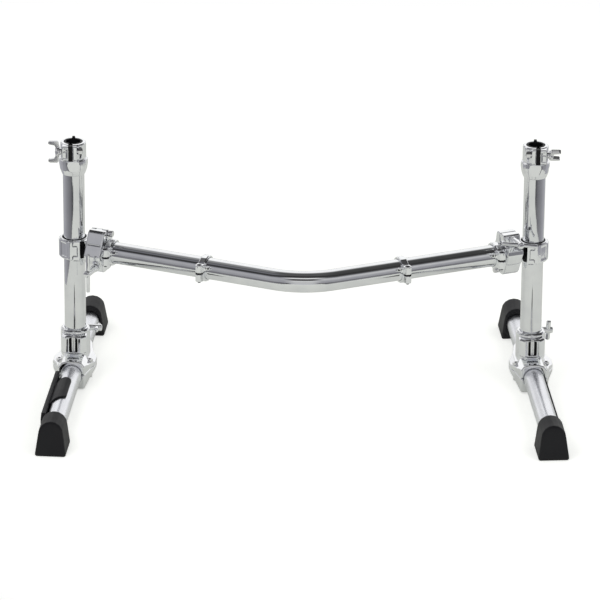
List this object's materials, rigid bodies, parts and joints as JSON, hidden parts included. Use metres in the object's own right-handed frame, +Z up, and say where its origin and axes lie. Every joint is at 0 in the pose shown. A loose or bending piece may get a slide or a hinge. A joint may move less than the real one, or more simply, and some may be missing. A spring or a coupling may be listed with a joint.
{
  "type": "drum rack frame",
  "caption": "Low drum rack frame: chrome T-leg stands joined by a forward-bent cross bar in split clamps, with tube sockets and wing screws on top and rubber feet.",
  "frame": {"origin": "on the floor under the middle of the bounding box", "axes": "+X to the right from post to post, +Y to the back, away from the side the cross bar bends to, +Z up along the posts"},
  "size_m": [0.92, 0.6216, 0.458],
  "materials": {
    "chrome": "polished chrome plate on steel tube and zinc castings",
    "satin_chrome": "satin chrome, finely brushed round the tube",
    "bright_steel": "bright plated fasteners",
    "black_rubber": "moulded black rubber, semi-matte",
    "black_nylon": "moulded black nylon"
  },
  "bodies": {
    "bar_assembly": {"cross_bar": "chrome", "left_clamp_body": "chrome", "left_clamp_liner": "black_nylon", "left_post_jaw": "chrome", "left_post_jaw_pin": "bright_steel", "left_post_jaw_screw": "bright_steel", "left_bar_jaw": "chrome", "left_bar_jaw_pin": "bright_steel", "right_clamp_body": "chrome", "right_clamp_liner": "black_nylon", "right_post_jaw": "chrome", "right_post_jaw_pin": "bright_steel", "right_post_jaw_screw": "bright_steel", "right_bar_jaw": "chrome", "right_bar_jaw_pin": "bright_steel", "left_end_lock_body": "chrome", "left_end_lock_strap": "chrome", "left_end_lock_screw": "bright_steel", "right_end_lock_body": "chrome", "right_end_lock_strap": "chrome", "right_end_lock_screw": "bright_steel"},
    "left_inner_lock": {"left_inner_lock_body": "chrome", "left_inner_lock_strap": "chrome", "left_inner_lock_screw": "bright_steel"},
    "right_inner_lock": {"right_inner_lock_body": "chrome", "right_inner_lock_strap": "chrome", "right_inner_lock_screw": "bright_steel"},
    "left_post_body": {"left_post": "chrome", "left_collar": "chrome", "left_collar_bush": "black_nylon", "left_collar_nut": "bright_steel"},
    "right_post_body": {"right_post": "chrome", "right_collar": "chrome", "right_collar_bush": "black_nylon", "right_collar_nut": "bright_steel"},
    "left_leg": {"left_base_casting": "chrome", "left_base_saddle": "chrome", "left_base_pin": "bright_steel", "left_saddle_bolt_outer": "bright_steel", "left_saddle_bolt_inner": "bright_steel", "left_leg_tube": "satin_chrome", "left_front_foot": "black_rubber", "left_rear_foot": "black_rubber", "left_leg_guard": "black_rubber"},
    "right_leg": {"right_base_casting": "chrome", "right_base_saddle": "chrome", "right_base_pin": "bright_steel", "right_saddle_bolt_outer": "bright_steel", "right_saddle_bolt_inner": "bright_steel", "right_leg_tube": "satin_chrome", "right_front_foot": "black_rubber", "right_rear_foot": "black_rubber", "right_leg_strip": "black_rubber"},
    "left_wing": {"left_wing_screw": "bright_steel"},
    "right_wing": {"right_wing_screw": "bright_steel"},
    "left_bar_screw": {"left_bar_t_screw": "chrome"},
    "right_bar_screw": {"right_bar_t_screw": "chrome"},
    "left_base_screw": {"left_base_t_screw": "chrome"},
    "right_base_screw": {"right_base_t_screw": "chrome"}
  },
  "joints": [
    {"name": "left_post_slide", "type": "slide", "parent": "bar_assembly", "child": "left_post_body", "axis": [0, 0, 1], "range_m": [-0.098, 0.075]},
    {"name": "right_post_slide", "type": "slide", "parent": "bar_assembly", "child": "right_post_body", "axis": [0, 0, 1], "range_m": [-0.098, 0.075]},
    {"name": "left_leg_turn", "type": "hinge", "parent": "left_post_body", "child": "left_leg", "pos_m": [-0.406, 0.04586, 0], "axis": [0, 0, 1], "range_deg": [-90, 90]},
    {"name": "right_leg_turn", "type": "hinge", "parent": "right_post_body", "child": "right_leg", "pos_m": [0.406, 0.04586, 0], "axis": [0, 0, 1], "range_deg": [-90, 90]},
    {"name": "left_wing_turn", "type": "hinge", "parent": "left_post_body", "child": "left_wing", "pos_m": [-0.406, 0.02486, 0.438], "axis": [1, 0, 0], "continuous": true},
    {"name": "right_wing_turn", "type": "hinge", "parent": "right_post_body", "child": "right_wing", "pos_m": [0.406, 0.02486, 0.438], "axis": [1, 0, 0], "continuous": true},
    {"name": "left_bar_screw_turn", "type": "hinge", "parent": "bar_assembly", "child": "left_bar_screw", "pos_m": [-0.3629, 0.02712, 0.223], "axis": [-0.3987, -0.9171, 0], "continuous": true},
    {"name": "right_bar_screw_turn", "type": "hinge", "parent": "bar_assembly", "child": "right_bar_screw", "pos_m": [0.3629, 0.02712, 0.283], "axis": [0.3987, -0.9171, 0], "continuous": true},
    {"name": "left_base_screw_turn", "type": "hinge", "parent": "left_leg", "child": "left_base_screw", "pos_m": [-0.4037, 0.07578, 0.086], "axis": [0.9971, -0.0767, 0], "continuous": true},
    {"name": "right_base_screw_turn", "type": "hinge", "parent": "right_leg", "child": "right_base_screw", "pos_m": [0.4037, 0.07578, 0.086], "axis": [0.9971, 0.0767, 0], "continuous": true},
    {"name": "left_inner_lock_slide", "type": "slide", "parent": "bar_assembly", "child": "left_inner_lock", "axis": [0.9171, -0.3987, 0], "range_m": [-0.15, 0.11]},
    {"name": "right_inner_lock_slide", "type": "slide", "parent": "bar_assembly", "child": "right_inner_lock", "axis": [-0.9171, -0.3987, 0], "range_m": [-0.15, 0.11]}
  ],
  "couplings": [
    {"joint": "right_post_slide", "follows": "left_post_slide", "ratio": 1}
  ]
}
